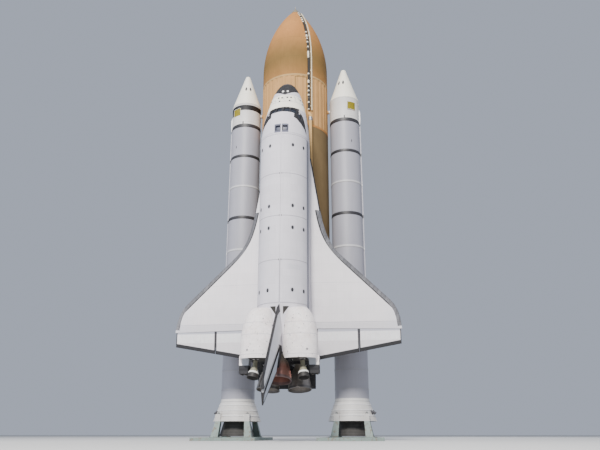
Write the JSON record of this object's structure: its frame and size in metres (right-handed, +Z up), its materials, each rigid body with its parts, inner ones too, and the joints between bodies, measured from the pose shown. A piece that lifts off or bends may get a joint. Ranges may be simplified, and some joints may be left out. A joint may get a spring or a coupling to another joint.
{
  "type": "1:2 scale model of a winged space shuttle with its tank and boosters",
  "caption": "Winged spaceplane on a large propellant tank with a solid rocket booster on each side, upright on hold-down posts; doors, control surfaces and nozzles move.",
  "frame": {"origin": "centre of the bounding box at the underside of the two launch mounts", "axes": "+Z up along the stack, +X to the orbiter's right-hand wing, -Y out of the orbiter's back"},
  "size_m": [11.8958, 11.6928, 28.2892],
  "materials": {
    "grey_carbon": "grey carbon shell",
    "white_blanket": "quilted white heat-proof blanket and tile",
    "glass": "dark window glass",
    "cabin_grey": "grey cabin paint",
    "black_tile": "black ceramic tile",
    "bare_metal": "bare metal",
    "nozzle_metal": "heat-stained metal",
    "foam": "sprayed orange-brown foam",
    "booster_paint": "white paint",
    "dark_liner": "dark charring liner",
    "steel_paint": "grey-green paint"
  },
  "bodies": {
    "stack": {"nose_cap": "grey_carbon", "forward_fuselage": "white_blanket", "windshield": "glass", "overhead_windows": "glass", "flight_deck": "cabin_grey", "mid_fuselage": "white_blanket", "aft_fuselage": "white_blanket", "fin": "white_blanket", "wing_left": "white_blanket", "leading_edge_left": "grey_carbon", "oms_pod_left": "white_blanket", "wing_right": "white_blanket", "leading_edge_right": "grey_carbon", "oms_pod_right": "white_blanket", "nose_spike": "bare_metal", "oxygen_tank": "foam", "intertank": "foam", "hydrogen_tank": "foam", "cable_tray": "foam", "oxygen_feedline": "foam", "bipod": "bare_metal", "aft_struts": "bare_metal", "umbilical_left": "foam", "umbilical_right": "foam", "nose_cone_left": "booster_paint", "forward_skirt_left": "booster_paint", "motor_case_left": "booster_paint", "attach_ring_left": "bare_metal", "aft_skirt_left": "booster_paint", "launch_mount_left": "steel_paint", "nose_cone_right": "booster_paint", "forward_skirt_right": "booster_paint", "motor_case_right": "booster_paint", "attach_ring_right": "bare_metal", "aft_skirt_right": "booster_paint", "launch_mount_right": "steel_paint"},
    "bay_door_left": {"bay_door_left": "white_blanket"},
    "bay_door_right": {"bay_door_right": "white_blanket"},
    "elevon_inboard_left": {"elevon_inboard_left": "white_blanket"},
    "elevon_outboard_left": {"elevon_outboard_left": "white_blanket"},
    "elevon_inboard_right": {"elevon_inboard_right": "white_blanket"},
    "elevon_outboard_right": {"elevon_outboard_right": "white_blanket"},
    "body_flap": {"body_flap": "black_tile"},
    "rudder_spar": {"rudder_spar": "bare_metal"},
    "speed_brake_left": {"speed_brake_left": "white_blanket"},
    "speed_brake_right": {"speed_brake_right": "white_blanket"},
    "gimbal_1": {"gimbal_1": "bare_metal"},
    "main_engine_1": {"main_engine_1": "nozzle_metal"},
    "gimbal_2": {"gimbal_2": "bare_metal"},
    "main_engine_2": {"main_engine_2": "nozzle_metal"},
    "gimbal_3": {"gimbal_3": "bare_metal"},
    "main_engine_3": {"main_engine_3": "nozzle_metal"},
    "oms_nozzle_left": {"oms_nozzle_left": "nozzle_metal"},
    "oms_nozzle_right": {"oms_nozzle_right": "nozzle_metal"},
    "booster_nozzle_left": {"booster_nozzle_left": "dark_liner"},
    "booster_nozzle_right": {"booster_nozzle_right": "dark_liner"},
    "crew_hatch": {"crew_hatch": "white_blanket"}
  },
  "joints": [
    {"name": "bay_door_left_hinge", "type": "hinge", "parent": "stack", "child": "bay_door_left", "pos_m": [-1.35255, -0.78295, 11.0109], "axis": [0, 0, -1], "range_deg": [0, 175.5]},
    {"name": "bay_door_right_hinge", "type": "hinge", "parent": "stack", "child": "bay_door_right", "pos_m": [1.35255, -0.78295, 11.0109], "axis": [0, 0, 1], "range_deg": [0, 175.5]},
    {"name": "elevon_inboard_left_hinge", "type": "hinge", "parent": "stack", "child": "elevon_inboard_left", "pos_m": [-2.67335, 0.653, 5.3594], "axis": [0.9999, 0.0131, 0], "range_deg": [-35, 20]},
    {"name": "elevon_outboard_left_hinge", "type": "hinge", "parent": "stack", "child": "elevon_outboard_left", "pos_m": [-4.83235, 0.62463, 5.3594], "axis": [0.9999, 0.0131, 0], "range_deg": [-35, 20]},
    {"name": "elevon_inboard_right_hinge", "type": "hinge", "parent": "stack", "child": "elevon_inboard_right", "pos_m": [2.67335, 0.653, 5.3594], "axis": [0.9999, -0.0131, 0], "range_deg": [-35, 20]},
    {"name": "elevon_outboard_right_hinge", "type": "hinge", "parent": "stack", "child": "elevon_outboard_right", "pos_m": [4.83235, 0.62463, 5.3594], "axis": [0.9999, -0.0131, 0], "range_deg": [-35, 20]},
    {"name": "body_flap_hinge", "type": "hinge", "parent": "stack", "child": "body_flap", "pos_m": [0, 0.85535, 3.4163], "axis": [-1, 0, 0], "range_deg": [-22.5, 11.7]},
    {"name": "rudder_hinge", "type": "hinge", "parent": "stack", "child": "rudder_spar", "pos_m": [0, -4.1548, 3.08745], "axis": [0, -0.8208, -0.5712], "range_deg": [-27.1, 27.1]},
    {"name": "speed_brake_left_hinge", "type": "hinge", "parent": "rudder_spar", "child": "speed_brake_left", "pos_m": [0, -4.1548, 3.08745], "axis": [0, -0.8208, -0.5712], "range_deg": [-49.3, 0]},
    {"name": "speed_brake_right_hinge", "type": "hinge", "parent": "rudder_spar", "child": "speed_brake_right", "pos_m": [0, -4.1548, 3.08745], "axis": [0, -0.8208, -0.5712], "range_deg": [0, 49.3]},
    {"name": "main_engine_1_pitch", "type": "hinge", "parent": "stack", "child": "gimbal_1", "pos_m": [0, -1.07505, 4.6228], "axis": [-1, 0, 0], "range_deg": [-10.5, 10.5]},
    {"name": "main_engine_1_yaw", "type": "hinge", "parent": "gimbal_1", "child": "main_engine_1", "pos_m": [0, -1.07505, 4.6228], "axis": [0, -0.9613, 0.2756], "range_deg": [-8.5, 8.5]},
    {"name": "main_engine_2_pitch", "type": "hinge", "parent": "stack", "child": "gimbal_2", "pos_m": [-0.6731, 0.20002, 4.32816], "axis": [-1, 0, 0], "range_deg": [-10.5, 10.5]},
    {"name": "main_engine_2_yaw", "type": "hinge", "parent": "gimbal_2", "child": "main_engine_2", "pos_m": [-0.6731, 0.20002, 4.32816], "axis": [0, -0.9848, 0.1736], "range_deg": [-8.5, 8.5]},
    {"name": "main_engine_3_pitch", "type": "hinge", "parent": "stack", "child": "gimbal_3", "pos_m": [0.6731, 0.20002, 4.32816], "axis": [-1, 0, 0], "range_deg": [-10.5, 10.5]},
    {"name": "main_engine_3_yaw", "type": "hinge", "parent": "gimbal_3", "child": "main_engine_3", "pos_m": [0.6731, 0.20002, 4.32816], "axis": [0, -0.9848, 0.1736], "range_deg": [-8.5, 8.5]},
    {"name": "oms_nozzle_left_pitch", "type": "hinge", "parent": "stack", "child": "oms_nozzle_left", "pos_m": [-1.1176, -1.69735, 3.6957], "axis": [-1, 0, 0], "range_deg": [-6, 6]},
    {"name": "oms_nozzle_right_pitch", "type": "hinge", "parent": "stack", "child": "oms_nozzle_right", "pos_m": [1.1176, -1.69735, 3.6957], "axis": [-1, 0, 0], "range_deg": [-6, 6]},
    {"name": "booster_nozzle_left_tilt", "type": "hinge", "parent": "stack", "child": "booster_nozzle_left", "pos_m": [-3.18135, 3.7446, 2.2479], "axis": [0, 1, 0], "range_deg": [-8, 8]},
    {"name": "booster_nozzle_right_tilt", "type": "hinge", "parent": "stack", "child": "booster_nozzle_right", "pos_m": [3.18135, 3.7446, 2.2479], "axis": [0, 1, 0], "range_deg": [-8, 8]},
    {"name": "crew_hatch_hinge", "type": "hinge", "parent": "stack", "child": "crew_hatch", "pos_m": [-1.30302, 0.16955, 16.3449], "axis": [0, 0, -1], "range_deg": [0, 90]}
  ],
  "couplings": [
    {"joint": "speed_brake_right_hinge", "follows": "speed_brake_left_hinge", "ratio": -1}
  ]
}
